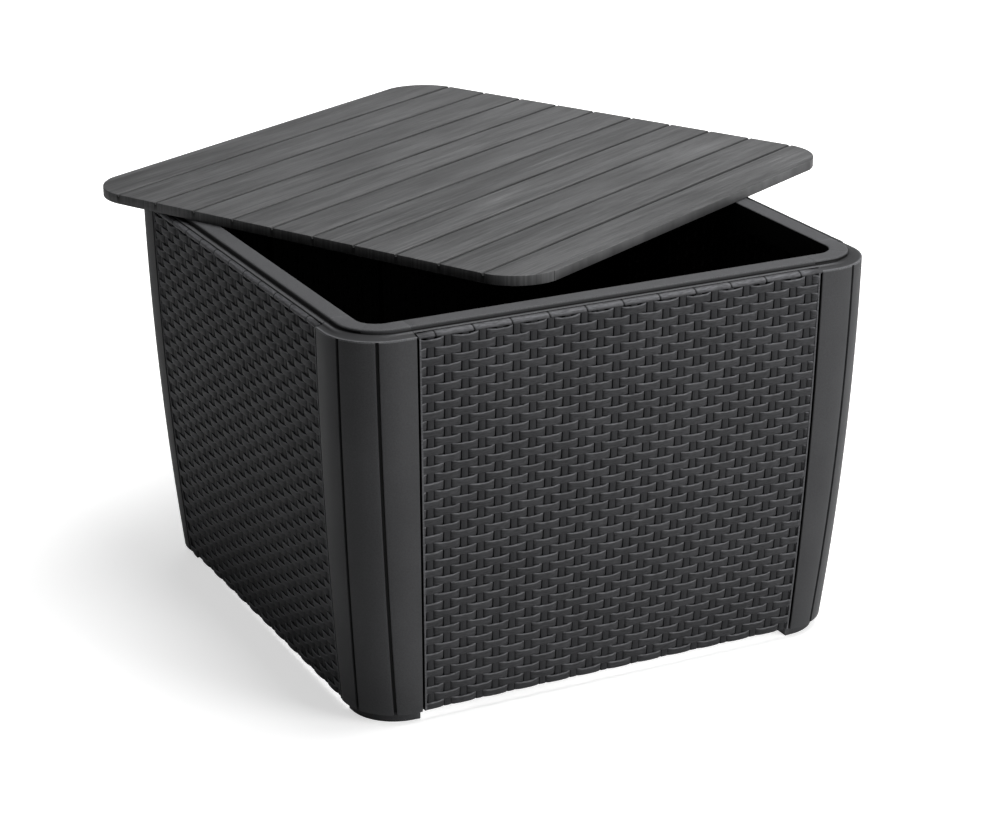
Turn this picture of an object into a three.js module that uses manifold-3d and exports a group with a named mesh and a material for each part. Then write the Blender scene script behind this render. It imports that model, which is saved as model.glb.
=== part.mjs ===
import * as THREE from 'three';
import { mergeVertices } from 'three/addons/utils/BufferGeometryUtils.js';
import Module from 'manifold-3d';

const wasm = await Module();
wasm.setup();

// A square resin box with woven side panels that stands over a gas cylinder, and its slatted lid.
// Millimetres, +Z up, origin on the ground under the middle of the box.

// The box
const rimHeight = 470;
const faceHalfWidth = 333.4;
const bowStart = 10;
const bowTaper = 6;
const bowCurve = 19.4;
const seatGap = 0.3;
const overrun = 5;

// Corner posts
const postRadius = 63;
const postWidth = 81.7;
const postEdgeTaper = 5.2;
const postEdgeCurve = 6.9;
const postDrop = 8.5;
const postBottom = 10;
const postWall = 4;
const postEdgeChamfer = 1.5;
const grooveAngle = 24;
const cornerMiddle = 45;
const grooveHalfAngle = 2;
const grooveDepth = 2.5;
const slotDepth = 8;
const slotWeb = 3;
const slotLeg = 3;
const postPlateThickness = 3;
const postPlateWidth = 28;
const postPlateInset = 1.5;

// Woven side panels
const panelWall = 3;
const panelBottom = 11.4;
const panelDrop = 4;
const panelRollHeight = 9;
const panelRollRound = 4;
const panelSideGap = 0.5;
const panelEdgeGroove = 2.4;
const panelBorder = 2.4;
const borderRecess = 0.6;
const weaveRecess = 2.6;
const weaveRelief = 1.5;
const courseCount = 43;
const stakeCount = 24;
const ribDepth = 8;
const ribWidth = 4;
const ribCount = 3;
const ribSpread = 150;
const ribBottom = 30;
const ribBury = 1;
const shelfThickness = 4;
const hoseNotchWidth = 64;
const hoseNotchHeight = 48;

// Rim
const bandInset = 16.4;
const bandWidth = 22;
const bandEdge = 1.5;
const rimWall = 3;
const rimLegDepth = 30;
const rimStep = 4.5;
const railBead = 3.5;
const railLegGap = 0.4;
const railLegDepth = 24;
const shoulderInset = 6.4;
const shoulderFall = 1.5;
const spigotDepth = 16;
const spigotClearance = 1;
const tabReach = 15;
const tabInset = 3;

// Feet
const footInset = 9;
const footWidth = 18;
const footHeight = 9.7;
const pegRadius = 4;
const pegHeight = 6;
const pegFromEnd = 12;

// Lid
const lidOverhang = 0.1;
const lidThickness = 12;
const lidCornerRadius = 62.5;
const lidEdgeRound = 0.8;
const lidSkirt = 3;
const lidPlate = 3.6;
const slatCount = 11;
const slatGrooveWidth = 3.6;
const slatGrooveFloor = 1.6;
const slatGrooveDepth = 2.6;
const lidRibWidth = 3;
const lidRibLift = 4.3;
const lidCrossRibs = 4;
const lidTurn = 27.46;
const lidShiftX = 50.6;
const lidShiftY = 175.7;

// Counts of flat steps
const bowSteps = 6;
const cornerSteps = 6;
const pegSides = 12;
const roundSteps = 3;
const skinSteps = 4;

// Worked out from the sizes above
const bowHeight = rimHeight - bowStart;
const postTop = rimHeight - postDrop;
const postEdgeTop = faceHalfWidth - postWidth;
const postCentre = faceHalfWidth - postRadius;
const slotWidth = panelWall + seatGap * 2;
const panelTop = rimHeight - panelDrop;
const panelPlateOuter = postWall + seatGap;
const panelPlateInner = panelPlateOuter + panelWall;
const weaveTop = panelTop - panelRollHeight;
const ledgeHeight = rimHeight - rimStep;
const bandOuter = faceHalfWidth - bandInset;
const bandInner = bandOuter - bandWidth;
const shoulderFlat = faceHalfWidth - shoulderInset;
const footRadius = postRadius - footInset;
const lidWidth = (faceHalfWidth + lidOverhang) * 2;

const range = (count) => Array.from({ length: count }, (_, i) => i);
const ordered = (a, b) => [Math.min(a, b), Math.max(a, b)];
const radians = (degrees) => THREE.MathUtils.degToRad(degrees);

// Half width over the post faces at a height: they bow inward toward the ground.
function faceAt(z) {
  const drop = (bowHeight - z) / bowHeight;
  return faceHalfWidth - bowTaper * drop - bowCurve * drop * drop;
}

// Distance from the middle of a side to the post's edge at a height.
function edgeAt(z) {
  const drop = (bowHeight - z) / bowHeight;
  return postEdgeTop - postEdgeTaper * drop - postEdgeCurve * drop * drop;
}

const footFace = faceAt(postBottom) - footInset;
const footEnd = edgeAt(0);
const railLegOuter = faceAt(ledgeHeight - railLegDepth) - panelPlateInner - railLegGap;

// Joining and cutting

function solidFrom(positions, triangles) {
  const point = (i) => new THREE.Vector3().fromArray(positions, i * 3);
  let volume = 0;
  for (let i = 0; i < triangles.length; i += 3) {
    const [a, b, c] = [point(triangles[i]), point(triangles[i + 1]), point(triangles[i + 2])];
    volume += a.dot(b.cross(c));
  }
  const triVerts = new Uint32Array(triangles);
  if (volume < 0) triVerts.reverse();
  return new wasm.Manifold(new wasm.Mesh({
    numProp: 3,
    vertProperties: new Float32Array(positions),
    triVerts,
  }));
}

function solidOf(geometry) {
  const bare = geometry.clone();
  bare.deleteAttribute('normal');
  bare.deleteAttribute('uv');
  const merged = mergeVertices(bare);
  return solidFrom(Array.from(merged.attributes.position.array), Array.from(merged.index.array));
}

function geometryOf(solid) {
  const { vertProperties, triVerts } = solid.getMesh();
  const geometry = new THREE.BufferGeometry();
  geometry.setAttribute('position', new THREE.BufferAttribute(new Float32Array(vertProperties), 3));
  geometry.setIndex(new THREE.BufferAttribute(new Uint32Array(triVerts), 1));
  geometry.computeVertexNormals();
  return geometry;
}

const fuse = (first, ...others) => others.reduce((solid, other) => solid.add(other), first);
const cut = (first, ...others) => others.reduce((solid, other) => solid.subtract(other), first);

function box(low, high) {
  const size = high.map((value, i) => value - low[i]);
  const geometry = new THREE.BoxGeometry(...size);
  return solidOf(geometry.translate(...low.map((value, i) => value + size[i] / 2)));
}

function peg(radius, x, y, low, high) {
  const geometry = new THREE.CylinderGeometry(radius, radius, high - low, pegSides);
  geometry.rotateX(Math.PI / 2);
  return solidOf(geometry.translate(x, y, (low + high) / 2));
}

// A closed body through rings of points, all alike in number, closed at both ends by the flat outline.
function loft(rings, outline) {
  const points = outline.map(([x, y]) => new THREE.Vector2(x, y));
  const turned = THREE.ShapeUtils.isClockWise(points);
  const body = turned ? rings.map((ring) => ring.toReversed()) : rings;
  const flat = turned ? points.toReversed() : points;
  const count = flat.length;
  const last = (rings.length - 1) * count;
  const triangles = [];
  for (const level of range(rings.length - 1)) {
    for (const i of range(count)) {
      const a = level * count + i;
      const b = level * count + (i + 1) % count;
      triangles.push(a, b, b + count, a, b + count, a + count);
    }
  }
  for (const [a, b, c] of THREE.ShapeUtils.triangulateShape(flat, [])) {
    triangles.push(c, b, a, last + a, last + b, last + c);
  }
  return solidFrom(body.flat(2), triangles);
}

// A flat outline raised from one height to another.
function slab(outline, low, high) {
  return loft([low, high].map((z) => outline.map(([x, y]) => [x, y, z])), outline);
}

// Corner outlines. Each is drawn in the quadrant where x and y are positive and turned into place.

function arc(centre, radius, from, to, steps) {
  return range(steps + 1).map((i) => {
    const angle = radians(from + (to - from) * i / steps);
    return [centre + radius * Math.cos(angle), centre + radius * Math.sin(angle)];
  });
}

const mirrored = (points) => points.map(([x, y]) => [y, x]).reverse();

// Points round the corner at one distance from the middle of the box, from one end to the other.
function bend(distance, centre, end) {
  const radius = distance - centre;
  const past = Math.max(0, end - centre);
  const turned = Math.asin(Math.max(0, end + seatGap - centre) / radius);
  const from = THREE.MathUtils.radToDeg(turned);
  const start = [centre + Math.sqrt(radius * radius - past * past), end];
  return [start, ...arc(centre, radius, from, 90 - from, cornerSteps), start.toReversed()];
}

// The post's section at one height: a grooved skin with a slot at each edge for the panels.
function postOutline(z) {
  const face = faceAt(z);
  const edge = edgeAt(z);
  const centre = face - postRadius;
  const skin = postRadius - postWall;
  const on = (angle, radius) => arc(centre, radius, angle, angle, 1)[0];
  const across = (radius, y) => centre + Math.sqrt(radius * radius - Math.max(0, y - centre) ** 2);
  const angleOf = (radius, y) => THREE.MathUtils.radToDeg(Math.asin(Math.max(0, y - centre) / radius));
  const lip = edge + postEdgeChamfer;
  const round = angleOf(postRadius, lip + postEdgeChamfer);
  const outer = [
    [across(postRadius, edge) - postEdgeChamfer, edge],
    [across(postRadius, lip), lip],
    ...arc(centre, postRadius, round, grooveAngle - grooveHalfAngle, roundSteps),
    on(grooveAngle, postRadius - grooveDepth),
    on(grooveAngle + grooveHalfAngle, postRadius),
    on((grooveAngle + cornerMiddle) / 2, postRadius),
  ];
  const skinAt = (y) => across(skin, y);
  const leg = face - postWall - slotWidth;
  const stop = edge + slotDepth;
  const web = stop + slotWeb;
  const inner = [
    [skinAt(edge), edge],
    [skinAt(stop), stop],
    [leg, stop],
    [leg, edge],
    [leg - slotLeg, edge],
    [leg - slotLeg, web],
    [skinAt(web), web],
    ...arc(centre, skin, angleOf(skin, web), cornerMiddle, skinSteps).slice(1, -1),
  ];
  const tip = on(cornerMiddle, postRadius);
  const hollow = on(cornerMiddle, skin);
  const side = [...outer, tip, ...mirrored(outer)];
  return [...side, ...inner.map(([x, y]) => [y, x]), hollow, ...inner.toReversed()];
}

// A strip that follows the corner between two distances from the middle of the box.
function cornerStrip(outer, inner, centre, end) {
  return [...bend(outer, centre, end), ...bend(inner, centre, end).reverse()];
}

const pegPlaces = () => {
  const across = footFace - footWidth / 2;
  const along = footEnd + pegFromEnd;
  return [[across, along], [along, across]];
};

function cornerPost() {
  const levels = range(bowSteps + 1).map((i) => postBottom + (postTop - postBottom) * i / bowSteps);
  const rings = levels.map((z) => postOutline(z).map(([x, y]) => [x, y, z]));
  const walls = loft(rings, postOutline(postBottom));
  const face = faceAt(postBottom);
  const plateTop = postBottom + postPlateThickness;
  const plateEnd = edgeAt(plateTop) + seatGap;
  const plateInner = face - postPlateWidth;
  const plateOutline = cornerStrip(face - postPlateInset, plateInner, face - postRadius, plateEnd);
  const plate = slab(plateOutline, postBottom, plateTop);
  const holes = pegPlaces().map(([x, y]) =>
    peg(pegRadius + seatGap, x, y, postBottom - overrun, plateTop + overrun));
  return cut(fuse(walls, plate), ...holes);
}

function foot() {
  const outline = cornerStrip(footFace, footFace - footWidth, footFace - footRadius, footEnd);
  const pegs = pegPlaces().map(([x, y]) => peg(pegRadius, x, y, footHeight / 2, footHeight + pegHeight));
  return fuse(slab(outline, 0, footHeight), ...pegs);
}

// A section of distances and heights carried round the corner.
function aroundCorner(section, end) {
  const paths = section.map(([distance, z]) => bend(distance, postCentre, end).map(([x, y]) => [x, y, z]));
  return loft(paths[0].map((_, station) => paths.map((path) => path[station])), section);
}

function bandSection() {
  const low = rimHeight - rimLegDepth;
  return [
    [bandInner, low],
    [bandInner + rimWall, low],
    [bandInner + rimWall, rimHeight - rimWall],
    [bandOuter - rimWall, rimHeight - rimWall],
    [bandOuter - rimWall, ledgeHeight - rimWall],
  ];
}

const bandTop = () => [
  [bandOuter, rimHeight - bandEdge],
  [bandOuter - bandEdge, rimHeight],
  [bandInner + bandEdge, rimHeight],
  [bandInner, rimHeight - bandEdge],
];

// The cap closes the corner post: the raised band, a step down and a rounded shoulder.
function cornerCap() {
  const brow = postTop + seatGap;
  const drop = ledgeHeight - shoulderFall - brow;
  const reach = faceHalfWidth - seatGap - shoulderFlat;
  const shoulder = range(roundSteps + 1).map((i) => {
    const angle = radians(90 * i / roundSteps);
    return [shoulderFlat + reach * Math.cos(angle), brow + drop * Math.sin(angle)];
  });
  const section = [
    ...bandSection(),
    [shoulderFlat - rimWall, ledgeHeight - rimWall],
    [faceHalfWidth - postWall, brow],
    ...shoulder,
    [bandOuter + bandEdge, ledgeHeight],
    ...bandTop(),
  ];
  const cap = aroundCorner(section, postEdgeTop);
  const legOuter = faceHalfWidth - postWall - spigotClearance;
  const legTop = ledgeHeight - rimWall + bandEdge / 2;
  const leg = [
    [legOuter - rimWall, postTop - spigotDepth],
    [legOuter, postTop - spigotDepth],
    [legOuter, postTop],
    [legOuter - rimWall, legTop],
  ];
  const spigot = aroundCorner(leg, postEdgeTop + slotDepth + slotWeb + spigotClearance);
  return fuse(cap, spigot, ...railTabs());
}

// Two tabs that slide under the ends of the rails and carry them.
function railTabs() {
  const low = bandInner + rimWall + tabInset;
  const high = bandOuter - rimWall - tabInset;
  const top = rimHeight - rimWall;
  const bottom = top - rimWall;
  const turn = ([x, y, z]) => [y, x, z];
  const [near, far] = [postEdgeTop - tabReach, postEdgeTop + tabReach];
  const tongue = [[low, near, bottom], [high, far, top - seatGap]];
  const root = [[low, postEdgeTop + tabInset, bottom], [high, far, top + bandEdge]];
  return [tongue, root].flatMap(([a, b]) => [box(a, b), box(turn(a), turn(b))]);
}

// A rail between two corner caps. Its outer leg stands on the panel's shelf, between the posts.
function rimRail() {
  const beadTop = ledgeHeight + rimStep - railBead;
  const beadLow = ledgeHeight - rimWall;
  const legBottom = ledgeHeight - railLegDepth;
  const legEnd = edgeAt(legBottom) - panelSideGap;
  const end = postEdgeTop - seatGap;
  const section = [
    ...bandSection(),
    [railLegOuter - rimWall, beadLow],
    [railLegOuter - rimWall, legBottom],
    [railLegOuter, legBottom],
    [railLegOuter, beadTop],
    [bandOuter + bandEdge, beadTop],
    ...bandTop(),
  ];
  const rail = loft([-end, end].map((y) => section.map(([d, z]) => [d, y, z])), section);
  const trims = [-1, 1].map((side) => {
    const across = ordered(side * legEnd, side * (end + overrun));
    return box([bandOuter, across[0], legBottom - overrun], [railLegOuter + overrun, across[1], beadLow]);
  });
  return cut(rail, ...trims);
}

// Panels. The woven face is a grid of crossings, each standing proud or lying back in turn.

function weaveLevels() {
  const pitch = (weaveTop - panelBottom) / courseCount;
  const crossings = range(courseCount).map((row) => ({ z: panelBottom + pitch * (row + 1 / 2), row }));
  const roll = (share, back) => ({ z: weaveTop + panelRollHeight * share, back });
  return [
    { z: panelBottom, back: weaveRelief },
    ...crossings,
    roll(0, weaveRelief),
    roll(1 / 3, -weaveRelief),
    roll(2 / 3, -weaveRelief),
    roll(1, panelRollRound),
  ].map((level) => ({
    ...level,
    face: faceAt(level.z) - weaveRecess,
    half: edgeAt(level.z) - panelEdgeGroove,
  }));
}

function weavePoints({ z, row, back, face, half }) {
  const woven = half - panelBorder;
  const pitch = woven * 2 / stakeCount;
  const proud = (stake) => (row + stake) % 2 ? face - weaveRelief : face + weaveRelief;
  const stakes = range(stakeCount).map((stake) => {
    const across = -woven + pitch * (stake + 1 / 2);
    return [row === undefined ? face - back : proud(stake), across, z];
  });
  const border = Math.min(faceAt(z) - borderRecess, row === undefined ? face - back : Infinity);
  return [[border, -half, z], [border, -woven, z], ...stakes, [border, woven, z], [border, half, z]];
}

// The panel's smooth back with the tongues that slide into the posts' slots.
function backPoints(z) {
  const front = faceAt(z) - panelPlateOuter;
  const back = faceAt(z) - panelPlateInner;
  const half = edgeAt(z) - panelEdgeGroove;
  const tip = edgeAt(z) + slotDepth - panelSideGap;
  return [
    [front, -half, z], [front, -tip, z], [back, -tip, z],
    [back, tip, z], [front, tip, z], [front, half, z],
  ];
}

// Triangles between two upright lines of points that differ in number.
function stitch(first, second, heightAt) {
  const triangles = [];
  let [i, j] = [0, 0];
  while (i < first.length - 1 || j < second.length - 1) {
    const firstNext = i < first.length - 1 ? heightAt(first[i + 1]) : Infinity;
    const secondNext = j < second.length - 1 ? heightAt(second[j + 1]) : Infinity;
    if (firstNext <= secondNext) {
      triangles.push(first[i], second[j], first[i + 1]);
      i += 1;
    } else {
      triangles.push(first[i], second[j], second[j + 1]);
      j += 1;
    }
  }
  return triangles;
}

const fan = (hub, rim) => rim.slice(1).flatMap((point, i) => [hub, rim[i], point]);

// The level face at one end of a panel: a fan over the woven edge and one over the plate behind it.
function levelFace(woven, plate) {
  const [start, tip, heel, farHeel, farTip, end] = plate;
  return [...fan(end, [start, ...woven]), ...fan(heel, [tip, start, end, farTip, farHeel])];
}

function gridTriangles(rows, columns, at, turned) {
  const triangles = [];
  for (const row of range(rows - 1)) {
    for (const column of range(columns - 1)) {
      const corners = [at(row, column), at(row, column + 1), at(row + 1, column + 1), at(row + 1, column)];
      const [a, b, c, d] = turned ? corners.toReversed() : corners;
      if ((row + column) % 2) triangles.push(a, b, c, a, c, d);
      else triangles.push(a, b, d, b, c, d);
    }
  }
  return triangles;
}

function panelBody() {
  const front = weaveLevels().map(weavePoints);
  const rise = (panelTop - panelBottom) / bowSteps;
  const back = range(bowSteps + 1).map((i) => backPoints(panelBottom + rise * i));
  const points = [...front, ...back].flat();
  const columns = front[0].length;
  const backColumns = back[0].length;
  const frontAt = (row, column) => row * columns + column;
  const backAt = (row, column) => front.length * columns + row * backColumns + column;
  const frontColumn = (column) => range(front.length).map((row) => frontAt(row, column));
  const backColumn = (column) => range(back.length).map((row) => backAt(row, column));
  const frontRow = (row) => range(columns).map((column) => frontAt(row, column));
  const backRow = (row) => range(backColumns).map((column) => backAt(row, column));
  const heightAt = (i) => points[i][2];
  const triangles = [
    ...gridTriangles(front.length, columns, frontAt, false),
    ...gridTriangles(back.length, backColumns, backAt, true),
    ...stitch(frontColumn(0), backColumn(0), heightAt).reverse(),
    ...stitch(frontColumn(columns - 1), backColumn(backColumns - 1), heightAt),
    ...levelFace(frontRow(0), backRow(0)).reverse(),
    ...levelFace(frontRow(front.length - 1), backRow(back.length - 1)),
  ];
  return solidFrom(points.flat(), triangles);
}

// Stiffening ribs behind the panel, with the shelf that the rail's leg stands on.
function panelRibs() {
  const shelfTop = ledgeHeight - railLegDepth - seatGap;
  const levels = range(bowSteps + 1).map((i) => ribBottom + (shelfTop - ribBottom) * i / bowSteps);
  const rib = (across) => {
    const ring = (z) => {
      const plate = faceAt(z) - panelPlateInner;
      const [low, high] = [plate - ribDepth, plate + ribBury];
      const [left, right] = [across - ribWidth / 2, across + ribWidth / 2];
      return [[low, left, z], [high, left, z], [high, right, z], [low, right, z]];
    };
    return loft(levels.map(ring), ring(ribBottom).map(([x, y]) => [x, y]));
  };
  const plate = faceAt(shelfTop) - panelPlateInner;
  const half = edgeAt(shelfTop) - slotDepth;
  const shelf = box([plate - ribDepth, -half, shelfTop - shelfThickness], [plate + ribBury, half, shelfTop]);
  const places = range(ribCount).map((i) => (i - (ribCount - 1) / 2) * ribSpread);
  return fuse(shelf, ...places.map(rib));
}

// The tongues stop on the post's plate below and under the corner caps above.
function tongueTrims() {
  const half = (z) => edgeAt(z) - panelSideGap;
  const far = postEdgeTop + slotDepth + overrun;
  const stop = postBottom + postPlateThickness + seatGap;
  const trims = [[panelBottom - overrun, stop], [postTop - seatGap, panelTop + overrun]];
  return trims.flatMap(([low, high]) => [-1, 1].map((side) => {
    const across = ordered(side * half(high), side * far);
    return box([0, across[0], low], [faceHalfWidth + overrun, across[1], high]);
  }));
}

function hoseNotch() {
  const radius = hoseNotchWidth / 2;
  const rise = hoseNotchHeight - radius;
  const shape = new THREE.Shape();
  shape.moveTo(-radius, -overrun);
  shape.lineTo(radius, -overrun);
  shape.lineTo(radius, rise);
  shape.absarc(0, rise, radius, 0, Math.PI, false);
  const geometry = new THREE.ExtrudeGeometry(shape, {
    depth: faceHalfWidth,
    bevelEnabled: false,
    curveSegments: cornerSteps,
  });
  geometry.rotateX(Math.PI / 2);
  geometry.rotateZ(Math.PI / 2);
  return solidOf(geometry.translate(0, 0, panelBottom));
}

const sidePanel = () => cut(fuse(panelBody(), panelRibs()), ...tongueTrims());
const hosePanel = () => cut(sidePanel(), hoseNotch());

// Lid

function roundedSquare(half, radius) {
  const centre = half - radius;
  return range(4).flatMap((quarter) => {
    const turn = radians(90 * quarter);
    return arc(centre, radius, 0, 90, cornerSteps).map(([x, y]) => [
      x * Math.cos(turn) - y * Math.sin(turn),
      x * Math.sin(turn) + y * Math.cos(turn),
    ]);
  });
}

function lidShell() {
  const half = lidWidth / 2;
  const rings = [
    [lidEdgeRound, 0],
    [0, lidEdgeRound],
    [0, lidThickness - lidEdgeRound],
    [lidEdgeRound, lidThickness],
  ].map(([inset, z]) => roundedSquare(half - inset, lidCornerRadius - inset).map(([x, y]) => [x, y, z]));
  const body = loft(rings, roundedSquare(half, lidCornerRadius));
  const pocket = slab(
    roundedSquare(half - lidSkirt, lidCornerRadius - lidSkirt), -overrun, lidThickness - lidPlate);
  return cut(body, pocket);
}

function lidRibs() {
  const half = (lidWidth - lidSkirt) / 2;
  const pitch = lidWidth / slatCount;
  const top = lidThickness - lidPlate + ribBury;
  const reach = half - lidCornerRadius / 2;
  const bar = (across) => [
    [-half, across - lidRibWidth / 2, lidRibLift],
    [half, across + lidRibWidth / 2, top],
  ];
  const underGrooves = range(slatCount - 1).map((i) => box(...bar((i + 1) * pitch - lidWidth / 2)));
  const crossPitch = reach * 2 / (lidCrossRibs + 1);
  const turned = ([x, y, z]) => [y, x, z];
  const crossing = range(lidCrossRibs).map((i) => {
    const [low, high] = bar((i + 1) * crossPitch - reach);
    return box(turned(low), turned(high));
  });
  return fuse(...underGrooves, ...crossing);
}

function slatGroove(across) {
  const top = lidThickness + overrun;
  const floor = lidThickness - slatGrooveDepth;
  const wide = slatGrooveWidth / 2;
  const narrow = slatGrooveFloor / 2;
  const section = [
    [across - narrow, floor], [across + narrow, floor], [across + wide, lidThickness],
    [across + wide, top], [across - wide, top], [across - wide, lidThickness],
  ];
  const half = lidWidth / 2 + overrun;
  return loft([-half, half].map((x) => section.map(([y, z]) => [x, y, z])), section);
}

function lidTop() {
  const pitch = lidWidth / slatCount;
  const grooves = range(slatCount - 1).map((i) => slatGroove((i + 1) * pitch - lidWidth / 2));
  return cut(fuse(lidShell(), lidRibs()), ...grooves);
}

// The scene graph

const graphite = () => new THREE.MeshStandardMaterial({ color: 0x2b2c2e, roughness: 0.62, metalness: 0 });
const wovenGraphite = () => new THREE.MeshStandardMaterial({ color: 0x26272a, roughness: 0.5, metalness: 0 });
const slatGrey = () => new THREE.MeshStandardMaterial({ color: 0x3a3b3d, roughness: 0.66, metalness: 0 });

function piece(name, geometry, material, turn) {
  const mesh = new THREE.Mesh(geometry.clone(), material);
  mesh.name = name;
  mesh.rotation.z = radians(turn);
  return mesh;
}

const table = new THREE.Group();

const corners = ['back_right', 'back_left', 'front_left', 'front_right'];
const cornerPieces = {
  post: geometryOf(cornerPost()),
  corner_cap: geometryOf(cornerCap()),
  foot: geometryOf(foot()),
};
for (const [kind, geometry] of Object.entries(cornerPieces)) {
  corners.forEach((corner, i) => table.add(piece(`${kind}_${corner}`, geometry, graphite(), 90 * i)));
}

const sides = ['right', 'back', 'left', 'front'];
const rail = geometryOf(rimRail());
const panel = geometryOf(sidePanel());
const panelWithNotch = geometryOf(hosePanel());
sides.forEach((side, i) => {
  const woven = side === 'back' ? panelWithNotch : panel;
  table.add(piece(`rim_rail_${side}`, rail, graphite(), 90 * i));
  table.add(piece(`wicker_panel_${side}`, woven, wovenGraphite(), 90 * i));
});

const lid = piece('lid', geometryOf(lidTop()), slatGrey(), lidTurn);
lid.position.set(lidShiftX, lidShiftY, rimHeight + seatGap);
table.add(lid);

export default table;
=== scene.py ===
import math
import random

import bmesh
import bpy
import numpy as np
from mathutils import Matrix, Vector

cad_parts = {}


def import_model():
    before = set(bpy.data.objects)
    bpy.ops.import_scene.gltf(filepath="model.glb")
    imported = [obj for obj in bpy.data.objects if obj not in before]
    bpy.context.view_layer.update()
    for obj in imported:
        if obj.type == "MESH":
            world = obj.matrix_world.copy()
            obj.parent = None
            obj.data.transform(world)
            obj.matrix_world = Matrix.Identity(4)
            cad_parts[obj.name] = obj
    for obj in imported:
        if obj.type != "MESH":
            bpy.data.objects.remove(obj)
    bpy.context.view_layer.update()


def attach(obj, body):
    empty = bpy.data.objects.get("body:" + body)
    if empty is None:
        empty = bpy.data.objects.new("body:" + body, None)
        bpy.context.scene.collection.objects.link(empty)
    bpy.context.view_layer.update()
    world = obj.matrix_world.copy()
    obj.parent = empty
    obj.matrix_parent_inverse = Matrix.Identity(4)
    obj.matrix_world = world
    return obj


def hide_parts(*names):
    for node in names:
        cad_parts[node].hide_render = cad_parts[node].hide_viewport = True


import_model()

MM = 0.001

# A mesh point's shade is painted light: it goes from -1, painted shade, over 0, plain, to 1, a painted
# highlight.
# SHADED is the darkest that keeps its piece's own resin: a face whose points all lie at DARK or below takes
# the near-black resin that paints the shadow inside the box.
DARK = -0.99
SHADED = -0.95

# Faces that meet at more than this angle, in degrees, have a sharp edge between them
SHARP = 38
SHARP_WEAVE = 50

# How far the middle of a rounded edge lies in from both its faces, as a share of its radius
ROUND_MIDDLE = 0.3

# The floor, in metres. Its own glow, as the camera sees it, rises from the first level to the second between
# two distances from the object, so painted shade deepens its real shadow near the object. Reflections see the
# floor and the world at levels of their own.
FLOOR_HALF = 9.0
FLOOR_GREY = 0.82
FLOOR_SPECK = 0.01
FLOOR_GLOW = (0.6, 1.0)
FLOOR_NEAR = (0.5, 2.2)
FLOOR_GLOSS = 0.1
WORLD_SOFT = 0.06
WORLD_GLOSS = 0.25

# Lamps, in metres and watts: place, the point that it faces, its two sides, power, and whether it is mirrored
LAMPS = (
    ("top", (0.9, 0.0, 3.2), (0.9, 0.0, 0.3), (2.4, 2.4), 112.0, True),
    ("right", (2.2, -3.2, 1.3), (0.0, 0.0, 0.25), (2.0, 2.0), 120.0, True),
    ("left", (-3.0, 2.0, 1.4), (0.0, 0.0, 0.25), (2.0, 2.0), 3.0, True),
    ("back", (2.0, 3.3, 1.1), (0.2, 0.2, 0.25), (2.2, 1.6), 30.0, False),
)

# The camera, solved from the photograph's straight edges: sensor and lens in millimetres, place in metres,
# turn in degrees and clipping in metres
CAMERA_SENSOR = 36.0
CAMERA_LENS = 100.7706
CAMERA_PLACE = (-1.417994, -2.860229, 1.410994)
CAMERA_TURN = (69.523485, 0.240007, -26.642493)
CAMERA_CLIP = (0.05, 60.0)

# The box, in millimetres
RIM = 470.0
LEDGE = 465.5
FACE = 333.4
BOW_HEIGHT = 460.0
BOW_TAPER = 6.0
BOW_CURVE = 19.4
EDGE_TOP = 251.7
EDGE_TAPER = 5.2
EDGE_CURVE = 6.9
SEAT_GAP = 0.3

# Corner posts. A groove's shares are of its half angle, from its middle out.
POST_RADIUS = 63.0
POST_TOP = 461.5
POST_BOTTOM = 12.4
POST_WALL = 4.0
POST_LIP = 0.3
POST_EASE = 0.5
POST_EASE_HEIGHT = 0.6
POST_LEVELS = 40
# A painted highlight along the post's top: whole from POST_BRIGHT below it, fading out by POST_BRIGHT_FROM
POST_BRIGHT = 0.8
POST_BRIGHT_FROM = 1.3
POST_TOP_HIGHLIGHT = 0.8
POST_PLATE = 3.0
POST_PLATE_INNER = 280.96
POST_PLATE_INSET = 1.5
# The plate that closes the post below takes painted shade
POST_PLATE_SHADE = -0.6
EDGE_ROUND = 1.5
# Painted shade across the post's edge lip, darkening into the slot beside the panel
EDGE_SHADES = (SHADED, -0.8, -0.3, 0.0, 0.0)
GROOVE_ANGLES = (24.0, 66.0)
GROOVE_HALF_ANGLE = 2.0
GROOVE_DEPTH = 2.5
GROOVE_SIDE = 0.45
GROOVE_SIDE_POWER = 0.8
# A groove is painted dark, wholly from this share of its half angle in from its side
GROOVE_SHADED_SIDE = 0.3
GROOVE_REACH = 1.5
GROOVE_LIP_DEPTH = 0.12
GROOVE_SHARES = (0.12, 0.55, 0.85, 1.0, 1.2, GROOVE_REACH)
SLOT_DEPTH = 8.0
SLOT_WIDTH = 3.6
SLOT_WEB = 3.0

# Rim
BAND_INNER = 295.0
BAND_OUTER = 317.0
BAND_ROUND = 1.9
WALL = 3.0
LEG_DEPTH = 30.0
SHOULDER = 327.0
RAIL_OUTER = 325.43
RAIL_LEG = 24.0
CAP_STEPS = 32
CAP_LEG_HEIGHT = 16.0
CAP_LEG_GAP = 1.0
INNER_ROUND = 1.2
END_BLEND = 24.0
MITRE_DIP = 0.25
MITRE_HALF_ANGLE = 0.5
MITRE_ANGLES = (44.35, 44.75, 45.0, 45.25, 45.65)
# Painted shadow at the foot of the band's wall, on one half of each cap
WALL_FOOT_SHADOW = -0.97
RAIL_END = EDGE_TOP - 0.1
RAIL_END_DIP = 0.15
RAIL_STATIONS = 9
# Painted light on the band: a highlight on its top and outer rounding, shade down its inner edge and wall
BAND_TOP_HIGHLIGHT = 0.42
BAND_OUTER_SHADES = (0.1, 0.25, 0.4, 0.45, BAND_TOP_HIGHLIGHT, BAND_TOP_HIGHLIGHT)
BAND_INNER_SHADES = (0.4, 0.3, -0.1, -0.6, -1.0)
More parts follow.
